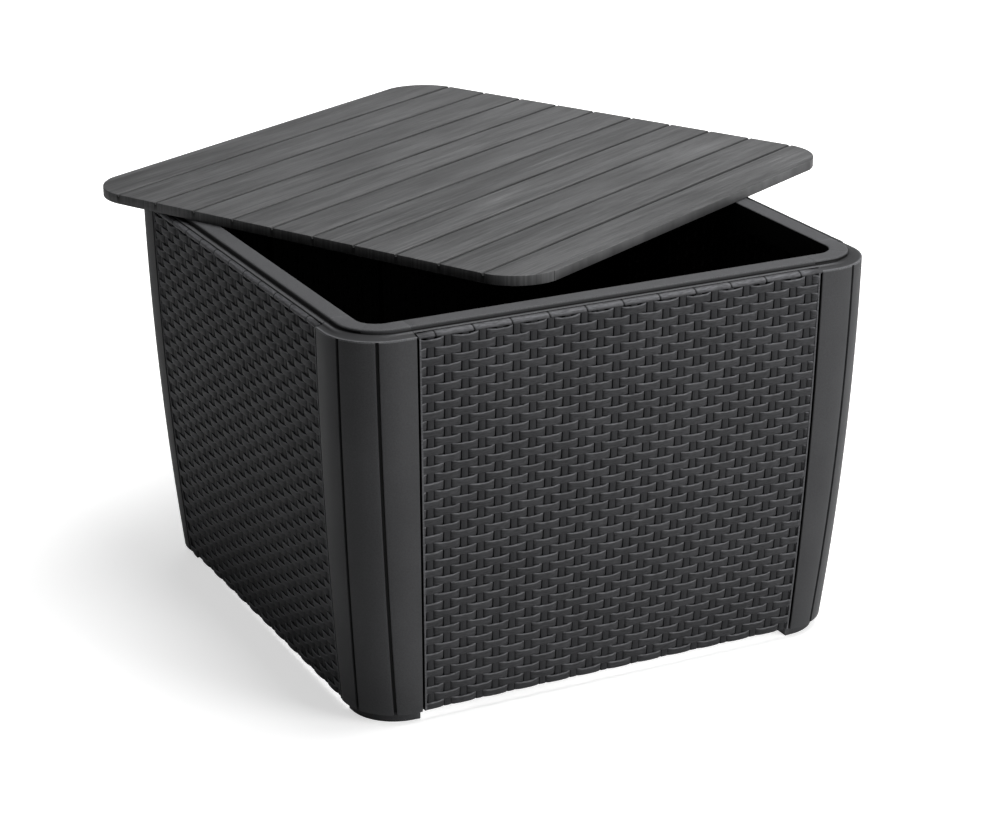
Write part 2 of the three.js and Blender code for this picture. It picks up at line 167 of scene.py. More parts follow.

# Stretches of the rim's sections, each as out, up and shade. The brow is measured from the post's face and
# top, the rail's edge from its outer face and the ledge, and the others from the band's wall and the ledge.
# The shade is painted light: a highlight on the brow's lip and the beads, shade in the creases and on the
# shoulder.
CAP_BROW = (
    (0.0, 0.05, 0.3), (0.0, 0.4, 1.0), (-0.35, 0.8, 1.0),
    (-0.95, 0.98, 1.0), (-1.7, 0.9, 0.6), (-2.9, 0.82, 0.0),
)
CAP_SHOULDER = (
    (12.0, -2.9, -0.2), (10.2, -2.5, -0.24), (8.4, -2.0, -0.28), (6.6, -1.45, -0.32),
    (4.8, -0.9, -0.36), (3.2, -0.45, -0.42), (1.8, -0.2, -0.5), (0.6, -0.2, -0.85),
)
CAP_END_BEAD = (
    (11.6, -2.6, -0.2), (9.6, -2.1, -0.4), (8.2, -1.5, -0.5), (7.2, -0.5, 0.2),
    (5.8, 0.1, 0.5), (4.2, 0.0, 0.1), (2.4, -0.7, -0.8), (0.6, -1.0, -0.85),
)
RAIL_EDGE = ((0.0, -2.0, -1.0), (0.0, -0.8, -0.5), (-0.3, -0.2, 0.3), (-1.1, 0.2, 0.7))
RAIL_BEAD = (
    (6.0, 0.3, 0.4), (4.4, 0.2, 0.1), (3.2, -0.3, -0.2), (2.0, -1.0, -0.8),
    (0.6, -1.1, -0.85), (0.05, -0.6, -0.85),
)

# Feet
FOOT_FACE = 299.96
FOOT_RADIUS = 54.0
FOOT_END = 239.6
FOOT_WIDTH = 18.0
FOOT_HEIGHT = 12.1
FOOT_ROUND = 0.9
FOOT_EASE = 0.4

# Woven panels
PANEL_BOTTOM = 12.8
PANEL_TOP = 466.0
PANEL_LEVELS = 40
HIDDEN_LEVELS = 24
EDGE_GROOVE = 2.4
BORDER = 2.4
BORDER_INSET = 0.6
TONGUE_FRONT = 4.3
TONGUE_BACK = 7.3
BACKING_FRONT = 6.6
BACKING_BACK = 8.4
TONGUE_GAP = 0.5
STAKES = 24
STAKE_PITCH = 20.45
STAKE_CLOSING = 0.35
STAKE_HALF = 4.05
STAKE_INSET = 2.6
STAKE_FALL = (250.0, 190.0)
STAKE_TOP = PANEL_TOP - 6.0
COURSES = 43
COURSE_PITCH = 10.30
COURSE_WIDENING = 0.0018
FIRST_COURSE = 452.3
STRAND_HALF = 16.3
STRAND_HEIGHT = 5.15
STRAND_CREST = 0.6
STRAND_SHORTEST = 0.8
STRAND_TILT = 0.25
STRAND_LIFT = 0.15
STRAND_PROUD = 0.12
STRAND_RIPPLE = 0.22
STRAND_GLINT = 0.25
STRAND_SEED = 7
ROLL_LOW = 457.8
ROLL_HIGH = 465.2
ROLL_END = 251.65
ROLL_END_LOW = 458.7
ROLL_END_HIGH = 464.6
ROLL_FLAT_FROM = 20.0
ROLL_FLAT_OVER = 18.0
ROLL_CROWN = 0.9
ROLL_CROWN_LEAST = 0.1
ROLL_FRONT = 4.4
ROLL_BACK = 3.0
ROLL_BACK_POWER = 0.4
# Shades round the roll's section from its foot: painted shade below, a painted highlight over the front and
# crown, painted shade behind
ROLL_SHADES = (-0.8, -0.5, 0.0, 0.3, 0.6, 0.9, 0.8, 0.4, 0.2, -0.4, *[-0.7] * 6)
ROLL_CALM = 25.0
ROLL_WRAPS = 11
ROLL_PITCH = 45.35
ROLL_FIRST = -231.2
ROLL_SLANT = 0.31
ROLL_STATIONS = (0.0, 0.012, 0.04, 0.12, 0.35, 0.6, 0.88, 0.96, 0.988, 1.0)
SEAM_HALF = 0.15
SEAM_REACH = 2.2
SEAM_DEPTH = 0.9
SEAM_SHADE = 1.6
NOTCH_HALF = 32.0
NOTCH_BASE = PANEL_BOTTOM + 16.0
NOTCH_CLEAR = 1.5
RIB_DEPTH = 8.0
RIB_WIDTH = 4.0
RIB_DRAFT = 0.6
RIB_PLACES = (-150.0, 0.0, 150.0)
RIB_BOTTOM = 30.0
SHELF_TOP = 441.2
SHELF_THICKNESS = 4.0
SHELF_EASE = 0.4
OVERLAP = 0.5

# Lid
LID_WIDTH = 667.0
LID_THICKNESS = 12.0
LID_RADIUS = 62.5
LID_ROUND = 0.8
LID_SKIRT = 3.0
LID_PLATE = 3.6
LID_ARC_STEPS = 24
SLATS = 11
SLAT_PITCH = LID_WIDTH / SLATS
SLAT_GROOVE = 4.0
SLAT_FLOOR = 2.0
SLAT_DEPTH = 2.6
LID_RIB_WIDTH = 3.0
LID_RIB_LIFT = 4.3
LID_CROSS_RIBS = 4
LID_TURN = 27.46
LID_PLACE = (50.6, 175.7, 470.3)


def face_at(z):
    drop = (BOW_HEIGHT - z) / BOW_HEIGHT
    return FACE - BOW_TAPER * drop - BOW_CURVE * drop * drop


def edge_at(z):
    drop = (BOW_HEIGHT - z) / BOW_HEIGHT
    return EDGE_TOP - EDGE_TAPER * drop - EDGE_CURVE * drop * drop


# Mesh building

def arc(cx, cy, radius, start, end, steps):
    angles = np.radians(np.linspace(start, end, steps + 1))
    return [(cx + radius * math.cos(a), cy + radius * math.sin(a)) for a in angles]


def loft(rings, shades=0.0):
    """A closed body through rings of points, all alike in number, with a shade for each point."""
    rings = np.asarray(rings, float)
    levels, count = rings.shape[:2]
    faces = []
    for level in range(levels - 1):
        for i in range(count):
            a = level * count + i
            b = level * count + (i + 1) % count
            faces.append((a, b, b + count, a + count))
    last = (levels - 1) * count
    faces.append(tuple(range(count))[::-1])
    faces.append(tuple(range(last, last + count)))
    spread = np.array(np.broadcast_to(shades, (levels, count)), float)
    return rings.reshape(-1, 3), faces, spread.reshape(-1)


def slab(outline, levels, shades=0.0):
    """A flat outline raised through (height, inset) levels, each inset toward the inside."""
    flat = np.asarray(outline, float)
    before, after = np.roll(flat, 1, 0), np.roll(flat, -1, 0)
    along = after - before
    along /= np.maximum(np.linalg.norm(along, axis=1, keepdims=True), 1e-9)
    normal = np.stack([along[:, 1], -along[:, 0]], 1)
    area = np.sum(before[:, 0] * flat[:, 1] - flat[:, 0] * before[:, 1])
    inward = -normal if area > 0 else normal
    return loft([[(*p, z) for p in flat + inward * inset] for z, inset in levels], shades)


def joined(shapes):
    points, faces, start = [], [], 0
    for p, f, _ in shapes:
        points.append(np.asarray(p, float))
        faces.extend(tuple(i + start for i in face) for face in f)
        start += len(p)
    return np.concatenate(points), faces, np.concatenate([shade for _, _, shade in shapes])


def convexity(mesh):
    """How far each vertex stands out of its neighbours along its normal: over 0 on an outer edge."""
    count = len(mesh.vertices)
    co = np.zeros(count * 3)
    normal = np.zeros(count * 3)
    mesh.vertices.foreach_get("co", co)
    mesh.vertices.foreach_get("normal", normal)
    co, normal = co.reshape(-1, 3), normal.reshape(-1, 3)
    ends = np.zeros(len(mesh.edges) * 2, int)
    mesh.edges.foreach_get("vertices", ends)
    ends = ends.reshape(-1, 2)
    along = co[ends[:, 0]] - co[ends[:, 1]]
    along /= np.maximum(np.linalg.norm(along, axis=1, keepdims=True), 1e-9)
    total, number = np.zeros(count), np.zeros(count)
    for side, sign in ((0, 1.0), (1, -1.0)):
        np.add.at(total, ends[:, side], np.sum(along * normal[ends[:, side]], 1) * sign)
        np.add.at(number, ends[:, side], 1.0)
    return total / np.maximum(number, 1.0)


def float_attribute(mesh, name, values):
    made = mesh.attributes.new(name, "FLOAT", "POINT")
    made.data.foreach_set("value", np.asarray(values, np.float32))


def mesh_from(name, material, shapes, sharp, tones=None):
    """A mesh with its painted shade and highlights as an attribute. Faces wholly in painted shadow take the
    near-black resin.
    """
    points, faces, shades = joined(shapes)
    mesh = bpy.data.meshes.new(name)
    mesh.from_pydata((points * MM).tolist(), [], faces)
    tones = [0.5] * len(shapes) if tones is None else tones
    counts = [len(shape[0]) for shape in shapes]
    float_attribute(mesh, "tone", np.repeat(tones, counts))
    float_attribute(mesh, "shade", shades)
    bm = bmesh.new()
    bm.from_mesh(mesh)
    bmesh.ops.recalc_face_normals(bm, faces=bm.faces)
    bmesh.ops.triangulate(bm, faces=[f for f in bm.faces if len(f.verts) > 4])
    bm.to_mesh(mesh)
    bm.free()
    mesh.shade_smooth()
    mesh.set_sharp_from_angle(angle=math.radians(sharp))
    float_attribute(mesh, "edge", convexity(mesh))
    starts = np.zeros(len(mesh.polygons), np.int32)
    corners = np.zeros(len(mesh.loops), np.int32)
    mesh.polygons.foreach_get("loop_start", starts)
    mesh.loops.foreach_get("vertex_index", corners)
    dark = np.maximum.reduceat(shades[corners], starts) <= DARK
    mesh.materials.append(material)
    if dark.any() and not dark.all():
        mesh.materials.append(painted_shadow_resin)
        mesh.polygons.foreach_set("material_index", dark.astype(np.int32))
    return mesh


def linked(name, data):
    """A new object in the scene, with its mesh, light or camera."""
    obj = bpy.data.objects.new(name, data)
    bpy.context.scene.collection.objects.link(obj)
    return obj


def piece(name, mesh, body, nodes, turn=0.0):
    obj = linked(name, mesh)
    obj.rotation_euler = (0.0, 0.0, math.radians(turn))
    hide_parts(*nodes)
    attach(obj, body)


# Materials

# Linear colours, and the shares of them that are left in an inner crease, drawn darker, and in painted shade
GRAPHITE = (0.046, 0.0465, 0.0485)
WOVEN = (0.0365, 0.0368, 0.0388)
# The stakes are the strands' colour drawn darker: painted shade where they lie back in the weave
STAKE_SHADED = (0.0285, 0.0288, 0.0306)
SLAT = (0.086, 0.0865, 0.088)
# Near black: a painted shadow for the faces inside the box and behind the weave
INNER_SHADOW = (0.002, 0.002, 0.0021)
CREASE_DARK = 0.45
PAINTED_SHADE_SHARE = 0.03
EVEN = (1.0, 1.0, 1.0)
RING_WAVES = 110.0
BOARD_SPREAD = 40.0


def shader(name, base, roughness, specular):
    """A material, its node tree, its Principled shader at a base colour, and a helper that adds nodes."""
    material = bpy.data.materials.new(name)
    material.use_nodes = True
    tree = material.node_tree
    surface = tree.nodes["Principled BSDF"]
    surface.inputs["Roughness"].default_value = roughness
    surface.inputs["Specular IOR Level"].default_value = specular
    surface.inputs["Base Color"].default_value = (*base, 1.0)

    def node(kind, links=(), **settings):
        made = tree.nodes.new(kind)
        for key, value in settings.items():
            setattr(made, key, value)
        for socket, source in links:
            tree.links.new(source, made.inputs[socket])
        return made

    return material, tree, surface, node


def mixed(node, factor, low, high):
    """A colour between two others. Each is a colour or a socket."""
    mix = node("ShaderNodeMix", data_type="RGBA")
    for socket, value in ((0, factor), (6, low), (7, high)):
        if isinstance(value, bpy.types.NodeSocket):
            mix.id_data.links.new(value, mix.inputs[socket])
        else:
            mix.inputs[socket].default_value = value
    return mix.outputs[2]


def ramp(node, source, low, high, to_low=0.0, to_high=1.0):
    made = node("ShaderNodeMapRange", [("Value", source)])
    for name, value in (("From Min", low), ("From Max", high), ("To Min", to_low), ("To Max", to_high)):
        made.inputs[name].default_value = value
    return made.outputs["Result"]


def noise(node, coordinates, stretch, scale, detail):
    mapping = node("ShaderNodeMapping", [("Vector", coordinates)])
    mapping.inputs["Scale"].default_value = stretch
    made = node("ShaderNodeTexNoise", [("Vector", mapping.outputs["Vector"])])
    made.inputs["Scale"].default_value = scale
    made.inputs["Detail"].default_value = detail
    return made.outputs["Fac"]


def product(node, first, second):
    return node("ShaderNodeMath", [(0, first), (1, second)], operation="MULTIPLY").outputs[0]


def multiplied(node, first, second):
    """One colour socket multiplied by another."""
    made = node("ShaderNodeMix", [(6, first), (7, second)], data_type="RGBA", blend_type="MULTIPLY")
    made.inputs[0].default_value = 1.0
    return made.outputs[2]


def tinted(base, share):
    return (*[min(1.0, value * share) for value in base], 1.0)


def grey(share):
    return (share, share, share, 1.0)


def painted(node, colour, base, worn_and_lit, wear, wear_and_highlight_mask):
    """Wear on outer edges, inner creases drawn darker, and the painted shade and highlights from the mesh's
    shade.
    """
    edge = node("ShaderNodeAttribute", attribute_name="edge").outputs["Fac"]
    shade = node("ShaderNodeAttribute", attribute_name="shade").outputs["Fac"]
    rub = product(node, ramp(node, edge, 0.1, 0.45, 0.0, wear), wear_and_highlight_mask)
    colour = mixed(node, rub, colour, tinted(base, worn_and_lit))
    # Painted highlight where the mesh's shade is over 0, in the same lighter colour as wear
    painted_highlight = product(node, ramp(node, shade, 0.0, 1.0), wear_and_highlight_mask)
    colour = mixed(node, painted_highlight, colour, tinted(base, worn_and_lit))
    # Inner creases drawn darker
    colour = mixed(node, ramp(node, edge, -0.32, -0.08, 1.0, 0.0), colour, tinted(base, CREASE_DARK))
    # Painted shade where the mesh's shade is under 0
    return mixed(node, ramp(node, shade, -1.0, 0.0, 1.0, 0.0), colour, tinted(base, PAINTED_SHADE_SHARE))


def bumped(node, surface, heights):
    """Bump from (height socket, strength, distance) layers."""
    normal = None
    for height, strength, distance in heights:
        bump = node("ShaderNodeBump", [("Height", height)])
        bump.inputs["Strength"].default_value = strength
        bump.inputs["Distance"].default_value = distance
        if normal:
            bump.id_data.links.new(normal, bump.inputs["Normal"])
        normal = bump.outputs["Normal"]
    surface.id_data.links.new(normal, surface.inputs["Normal"])


def resin(name, base, roughness, specular, stretch, scale, depth, contrast, wear, worn_and_lit):
    """Moulded plastic: cloudy tone, a grain, worn outer edges, darker creases, painted shade and highlights.
    """
    material, tree, surface, node = shader(name, base, roughness, specular)
    coordinates = node("ShaderNodeTexCoord").outputs["Object"]
    tone = node("ShaderNodeAttribute", attribute_name="tone").outputs["Fac"]
    cloud = noise(node, coordinates, EVEN, 9.0, 3.0)
    grain = noise(node, coordinates, stretch, scale, 5.0)
    fine = noise(node, coordinates, EVEN, 1500.0, 2.0)
    colour = mixed(node, ramp(node, cloud, 0.3, 0.7), tinted(base, 0.9), tinted(base, 1.1))
    streak = mixed(node, ramp(node, grain, 0.32, 0.68), grey(1.0 - contrast), grey(1.0 + contrast))
    shade = mixed(node, ramp(node, tone, 0.0, 1.0), grey(0.88), grey(1.12))
    colour = multiplied(node, multiplied(node, colour, streak), shade)
    colour = painted(node, colour, base, worn_and_lit, wear, ramp(node, grain, 0.36, 0.6, 0.5, 1.0))
    tree.links.new(colour, surface.inputs["Base Color"])
    rough = ramp(node, grain, 0.3, 0.7, roughness - 0.06, roughness + 0.08)
    tree.links.new(rough, surface.inputs["Roughness"])
    bumped(node, surface, [(grain, 0.6, depth), (fine, 0.35, 0.00012)])
    return material


def wood_grain(name, base, roughness, specular):
    """Plastic slats with a printed wood grain: streaks, long rings, and each slat a tone of its own."""
    material, tree, surface, node = shader(name, base, roughness, specular)
    back = Matrix.Rotation(math.radians(-LID_TURN), 3, "Z")
    lid = node("ShaderNodeMapping", [("Vector", node("ShaderNodeTexCoord").outputs["Object"])])
    lid.inputs["Rotation"].default_value = (0.0, 0.0, math.radians(-LID_TURN))
    lid.inputs["Location"].default_value = -(back @ Vector(LID_PLACE)) * MM
    parts = node("ShaderNodeSeparateXYZ", [("Vector", lid.outputs["Vector"])])
    slat = node("ShaderNodeMath", [(0, parts.outputs["Y"])], operation="MULTIPLY_ADD")
    slat.inputs[1].default_value = 1 / (SLAT_PITCH * MM)
    slat.inputs[2].default_value = SLATS / 2
    number = node("ShaderNodeMath", [(0, slat.outputs[0])], operation="FLOOR").outputs[0]
    chance = node("ShaderNodeTexWhiteNoise", [("W", number)], noise_dimensions="1D").outputs["Value"]
    away = node("ShaderNodeMath", [(0, chance)], operation="MULTIPLY")
    away.inputs[1].default_value = BOARD_SPREAD
    axes = [("X", parts.outputs["X"]), ("Y", parts.outputs["Y"]), ("Z", away.outputs[0])]
    place = node("ShaderNodeCombineXYZ", axes).outputs["Vector"]
    rings = noise(node, place, (0.06, 1.0, 1.0), 34.0, 2.0)
    waves = node("ShaderNodeMath", [(0, rings)], operation="MULTIPLY")
    waves.inputs[1].default_value = RING_WAVES
    lines = node("ShaderNodeMath", [(0, waves.outputs[0])], operation="SINE").outputs[0]
    broad = noise(node, place, (0.1, 1.0, 1.0), 60.0, 3.0)
    streaks = noise(node, place, (0.018, 1.0, 1.0), 520.0, 4.0)
    bands = noise(node, place, (0.025, 1.0, 1.0), 330.0, 3.0)
    pores = noise(node, place, (0.05, 1.0, 1.0), 1700.0, 2.0)
    blotch = noise(node, place, (0.35, 1.0, 1.0), 16.0, 2.0)
    colour = mixed(node, ramp(node, blotch, 0.3, 0.7), tinted(base, 0.86), tinted(base, 1.14))
    layers = (
        (ramp(node, chance, 0.0, 1.0), 0.93, 1.07),
        (ramp(node, broad, 0.3, 0.7), 0.84, 1.16),
        (ramp(node, lines, -1.0, 1.0), 0.93, 1.05),
        (ramp(node, streaks, 0.3, 0.7), 0.76, 1.22),
        (ramp(node, bands, 0.34, 0.66), 0.82, 1.15),
        (ramp(node, pores, 0.35, 0.65), 0.88, 1.1),
    )
    for factor, low, high in layers:
        colour = multiplied(node, colour, mixed(node, factor, grey(low), grey(high)))
    # Besides the worn edges, the mesh's painted shade blacks the grooves
    colour = painted(node, colour, base, 1.7, 0.4, ramp(node, streaks, 0.36, 0.6, 0.4, 1.0))
    tree.links.new(colour, surface.inputs["Base Color"])
    rough = ramp(node, streaks, 0.3, 0.7, roughness - 0.07, roughness + 0.08)
    tree.links.new(rough, surface.inputs["Roughness"])
    bumped(node, surface, [(streaks, 0.7, 0.0002), (pores, 0.5, 0.0001)])
    return material


smooth_resin = resin(
    "graphite_resin", GRAPHITE, roughness=0.5, specular=0.12, stretch=EVEN, scale=620.0,
    depth=0.0001, contrast=0.1, wear=0.3, worn_and_lit=3.2)
strand_resin = resin(
    "strand_resin", WOVEN, roughness=0.48, specular=0.06, stretch=(0.5, 0.14, 1.0), scale=900.0,
    depth=0.0004, contrast=0.26, wear=0.7, worn_and_lit=4.4)
stake_resin = resin(
    "stake_resin", STAKE_SHADED, roughness=0.5, specular=0.06, stretch=(0.5, 1.0, 0.08), scale=900.0,
    depth=0.0002, contrast=0.12, wear=0.3, worn_and_lit=2.0)
painted_shadow_resin = resin(
    "painted_shadow_resin", INNER_SHADOW, roughness=0.85, specular=0.05, stretch=EVEN, scale=260.0,
    depth=0.0001, contrast=0.2, wear=0.0, worn_and_lit=1.0)
slat_resin = wood_grain("slat_resin", SLAT, roughness=0.5, specular=0.22)


# Corner posts. Each is drawn in the quadrant where x and y are positive and turned into place.

def groove_dip(angle):
    """How deep the post's surface lies at an angle round the corner, and its painted shade: a steep, dark
    groove.
    """
    depth, shade = 0.0, 0.0
    for groove in GROOVE_ANGLES:
        away = abs(angle - groove) / GROOVE_HALF_ANGLE
        if away < 1.0:
            depth = GROOVE_DEPTH * min(1.0, (1.0 - away) / GROOVE_SIDE) ** GROOVE_SIDE_POWER
            shade = SHADED * min(1.0, (1.0 - away) / GROOVE_SHADED_SIDE)
        elif away < GROOVE_REACH:
            depth = GROOVE_LIP_DEPTH * (GROOVE_REACH - away) / (GROOVE_REACH - 1.0)
    return depth, shade


def post_angles():
    angles = set(np.linspace(0.0, 90.0, 31))
    for groove in GROOVE_ANGLES:
        for share in GROOVE_SHARES:
            away = GROOVE_HALF_ANGLE * share
            angles.update((groove - away, groove + away))
    return sorted(angles)


def post_ring(z, inset):
    """The post's section at a height: a grooved skin with a slot at each edge, and its painted shades, the
    inside dark.
    """
    face, edge = face_at(z), edge_at(z)
    centre = face - POST_RADIUS
    skin = POST_RADIUS - POST_WALL
    lip = arc(face - EDGE_ROUND, edge + EDGE_ROUND, EDGE_ROUND - inset, -90.0, 0.0, 4)
    curve, shades = [], []
    for angle in post_angles():
        depth, shade = groove_dip(angle)
        curve.append(arc(centre, centre, POST_RADIUS - inset - depth, angle, angle, 1)[0])
        shades.append(shade)
    outer = lip + curve + [(y, x) for x, y in reversed(lip)]
    leg = face - POST_WALL - SLOT_WIDTH
    stop = edge + SLOT_DEPTH
    web = stop + SLOT_WEB

    def skin_at(y):
        return centre + math.sqrt(skin * skin - max(0.0, y - centre) ** 2)

    start = math.degrees(math.asin(max(0.0, web - centre) / skin))
    inner = [
        (skin_at(edge), edge), (skin_at(stop), stop), (leg, stop), (leg, edge),
        (leg - SLOT_WEB, edge), (leg - SLOT_WEB, web), (skin_at(web), web),
        *arc(centre, centre, skin, start, 45.0, 8)[1:],
    ]
    points = outer + [(y, x) for x, y in inner] + list(reversed(inner[:-1]))
    shades = [*EDGE_SHADES, *shades, *reversed(EDGE_SHADES), *[-1.0] * (len(points) - len(outer))]
    return points, shades


def corner_strip(outer, inner, centre, end, steps):
    """The outline of a strip that runs round the corner between two faces."""
    side = [(outer, end), *arc(centre, centre, outer - centre, 0, 90, steps), (end, outer)]
    back = [(inner, end), *arc(centre, centre, inner - centre, 0, 90, steps), (end, inner)]
    return side + back[::-1]


def post_shapes():
    """The post's bowed walls, with a painted highlight at the top, and the plate that closes them below."""
    heights = [
        *np.linspace(POST_BOTTOM + POST_EASE_HEIGHT, POST_TOP - POST_BRIGHT_FROM, POST_LEVELS),
        POST_TOP - POST_BRIGHT, POST_TOP - POST_LIP,
    ]
    levels = [(POST_BOTTOM, POST_EASE), *[(z, 0.0) for z in heights], (POST_TOP, POST_LIP)]
    plain = np.array(post_ring(0.0, 0.0)[1])
    shades = np.tile(plain, (len(levels), 1))
    shades[-3:, plain > -0.05] = POST_TOP_HIGHLIGHT
    walls = loft([[(x, y, z) for x, y in post_ring(z, inset)[0]] for z, inset in levels], shades)
    face = face_at(POST_BOTTOM) - POST_PLATE_INSET
    centre = face_at(POST_BOTTOM) - POST_RADIUS
    top = POST_BOTTOM + POST_PLATE
    outline = corner_strip(face, POST_PLATE_INNER, centre, edge_at(top) + SEAT_GAP, 16)
    plate_levels = [(POST_BOTTOM + 0.2, 0.3), (POST_BOTTOM + POST_EASE_HEIGHT, 0.0), (top, 0.0)]
    return [walls, slab(outline, plate_levels, POST_PLATE_SHADE)]


def foot_shapes():
    outline = corner_strip(FOOT_FACE, FOOT_FACE - FOOT_WIDTH, FOOT_FACE - FOOT_RADIUS, FOOT_END, 28)
    middle = ROUND_MIDDLE * FOOT_ROUND
    levels = [
        (0.0, FOOT_ROUND), (middle, middle), (FOOT_ROUND, 0.0),
        (FOOT_HEIGHT - FOOT_EASE, 0.0), (FOOT_HEIGHT, FOOT_EASE),
    ]
    return [slab(outline, levels)]


# Rim

def around_corner(section, end, ends=None, mitre=False):
    """A section of (distance, height, shade) carried round the corner, turning into another at the ends.

    A mitre adds a fine seam across the band at 45 degrees, and a painted shadow at the wall's foot on one
    side of it."""
    centre = FACE - POST_RADIUS
    middle, ends = np.asarray(section, float), np.asarray(section if ends is None else ends, float)
    angles = list(np.linspace(0.0, 90.0, CAP_STEPS + 1))
    if mitre:
        angles = [a for a in angles if abs(a - 45.0) > 1.0] + list(MITRE_ANGLES)
    rings, shades = [], []
    for angle in [None, *sorted(angles), None]:
        away = 0.0 if angle is None else min(angle, 90.0 - angle)
        share = max(0.0, 1.0 - away / END_BLEND)
        points = middle + (ends - middle) * share
        dip = MITRE_DIP * max(0.0, 1.0 - abs(away - 45.0) / MITRE_HALF_ANGLE) if mitre else 0.0
        heights = np.where(points[:, 1] > LEDGE + 1.0, points[:, 1] - dip, points[:, 1])
        if angle is None:
            ring = [(d, end, z) for d, z in zip(points[:, 0], heights)]
            rings.append(ring if not rings else [(y, x, z) for x, y, z in ring])
        else:
            a = math.radians(angle)
            rings.append([
                (centre + (d - centre) * math.cos(a), centre + (d - centre) * math.sin(a), z)
                for d, z in zip(points[:, 0], heights)])
        shade = points[:, 2].copy()
        if mitre and (angle < 45.0 if angle is not None else len(rings) == 1):
            out = points[:, 0] - BAND_OUTER
            shade[(out > -0.1) & (out < 0.7) & (points[:, 1] < LEDGE + 2.1)] = WALL_FOOT_SHADOW
        shades.append(shade)
    return loft(rings, shades)


def placed(stretch, distance, height):
    """A stretch of a section, moved out and up."""
    return [(distance + out, height + up, shade) for out, up, shade in stretch]


def band_section():
    """The rim's underside, from the inner leg's foot to the outer wall, all in painted shadow."""
    low = RIM - LEG_DEPTH
    return [
        (BAND_INNER, low, -1.0), (BAND_INNER + WALL, low, -1.0), (BAND_INNER + WALL, RIM - WALL, -1.0),
        (BAND_OUTER - WALL, RIM - WALL, -1.0), (BAND_OUTER - WALL, LEDGE - WALL, -1.0),
    ]


def band_top():
    """The outer wall above the crease, the flat top and the inner edge, with their painted highlight and
    shade.
    """
    outer = arc(BAND_OUTER - BAND_ROUND, RIM - BAND_ROUND, BAND_ROUND, 0, 90, 5)
    inner = arc(BAND_INNER + INNER_ROUND, RIM - INNER_ROUND, INNER_ROUND, 90, 180, 4)
    return [
        (BAND_OUTER, LEDGE + 0.9, -0.2), (BAND_OUTER, LEDGE + 2.0, -0.1),
        *[(d, z, shade) for (d, z), shade in zip(outer, BAND_OUTER_SHADES)],
        (BAND_OUTER - 6.0, RIM, BAND_TOP_HIGHLIGHT), (BAND_INNER + 6.0, RIM, BAND_TOP_HIGHLIGHT),
        *[(d, z, shade) for (d, z), shade in zip(inner, BAND_INNER_SHADES)],
    ]


def cap_section(stretch):
    """The cap's section, with the stretch between its brow and the crease at the band's wall."""
    return [
        *band_section(),
        (SHOULDER - POST_WALL, LEDGE - WALL, -1.0), (FACE - POST_WALL, POST_TOP + SEAT_GAP, -1.0),
        *placed(CAP_BROW, FACE - 0.05, POST_TOP), *placed(stretch, BAND_OUTER, LEDGE),
        (BAND_OUTER + 0.05, LEDGE, -0.85), *band_top(),
    ]


def cap_shapes():
    """The rim's rounded corner, which meets the rails with a bead like theirs, and the leg in the post."""
    out = FACE - POST_WALL - CAP_LEG_GAP
    foot = POST_TOP - CAP_LEG_HEIGHT
    # The leg lies in painted shadow, near black
    leg = [
        (out - WALL, foot, -1.0), (out, foot, -1.0),
        (out, POST_TOP - 0.5, -1.0), (out - WALL, POST_TOP + 0.6, -1.0),
    ]
    end = EDGE_TOP + SLOT_DEPTH + SLOT_WEB + CAP_LEG_GAP
    corner = around_corner(cap_section(CAP_SHOULDER), EDGE_TOP, cap_section(CAP_END_BEAD), True)
    return [corner, around_corner(leg, end)]


def rail_shapes():
    """One straight rail, with its leg behind the panel. Its ends dip a little, for a seam beside the caps."""
    leg_bottom = LEDGE - RAIL_LEG
    section = [
        *band_section(), (RAIL_OUTER - WALL, LEDGE - WALL, -1.0), (RAIL_OUTER - WALL, leg_bottom, -1.0),
        (RAIL_OUTER, leg_bottom, -1.0), *placed(RAIL_EDGE, RAIL_OUTER, LEDGE),
        *placed(RAIL_BEAD, BAND_OUTER, LEDGE), *band_top(),
    ]
    near_end, inner = RAIL_END - 0.35, RAIL_END - 12.0
    rings = []
    for place in [-RAIL_END, -near_end, *np.linspace(-inner, inner, RAIL_STATIONS), near_end, RAIL_END]:
        dip = RAIL_END_DIP if abs(place) == RAIL_END else 0.0
        rings.append([(d, place, z - dip if z > RIM - 2.0 else z) for d, z, _ in section])
    return [loft(rings, [shade for _, _, shade in section])]


# Woven panels, drawn at +X: x is the distance from the middle of the box, y runs along the side.

def stake_place(k, z):
    """Where a stake stands along the side. The stakes close up a little toward the foot of the panel."""
    start, length = STAKE_FALL
    fall = max(0.0, (start - z) / length)
    return (k - (STAKES - 1) / 2) * (STAKE_PITCH - STAKE_CLOSING * fall * fall)


def course_height(row):
    return FIRST_COURSE - COURSE_PITCH * row - COURSE_WIDENING * row * row


# A strand from its middle to where it ends behind a stake, in shares of STRAND_HALF: how far back it lies,
# and its shade, painted dark where it goes behind the stake
STRAND_REACH = 1.05
STRAND_DIVE = (
    (0.0, 0.0, 0.0), (0.25, 0.08, 0.02), (0.48, 0.3, 0.03), (0.66, 0.7, 0.03), (0.78, 1.15, 0.02),
    (0.87, 1.7, 0.0), (0.93, 2.25, -0.05), (0.965, 2.8, -0.15), (0.985, 4.2, -0.9),
    (STRAND_REACH, 5.6, SHADED),
)
# Half its height along it: it widens where it goes behind the neighbouring strands
STRAND_WIDTH = ((0.0, 4.75), (0.4, 4.85), (0.6, 5.15), (0.8, 6.0), (STRAND_REACH, 6.2))
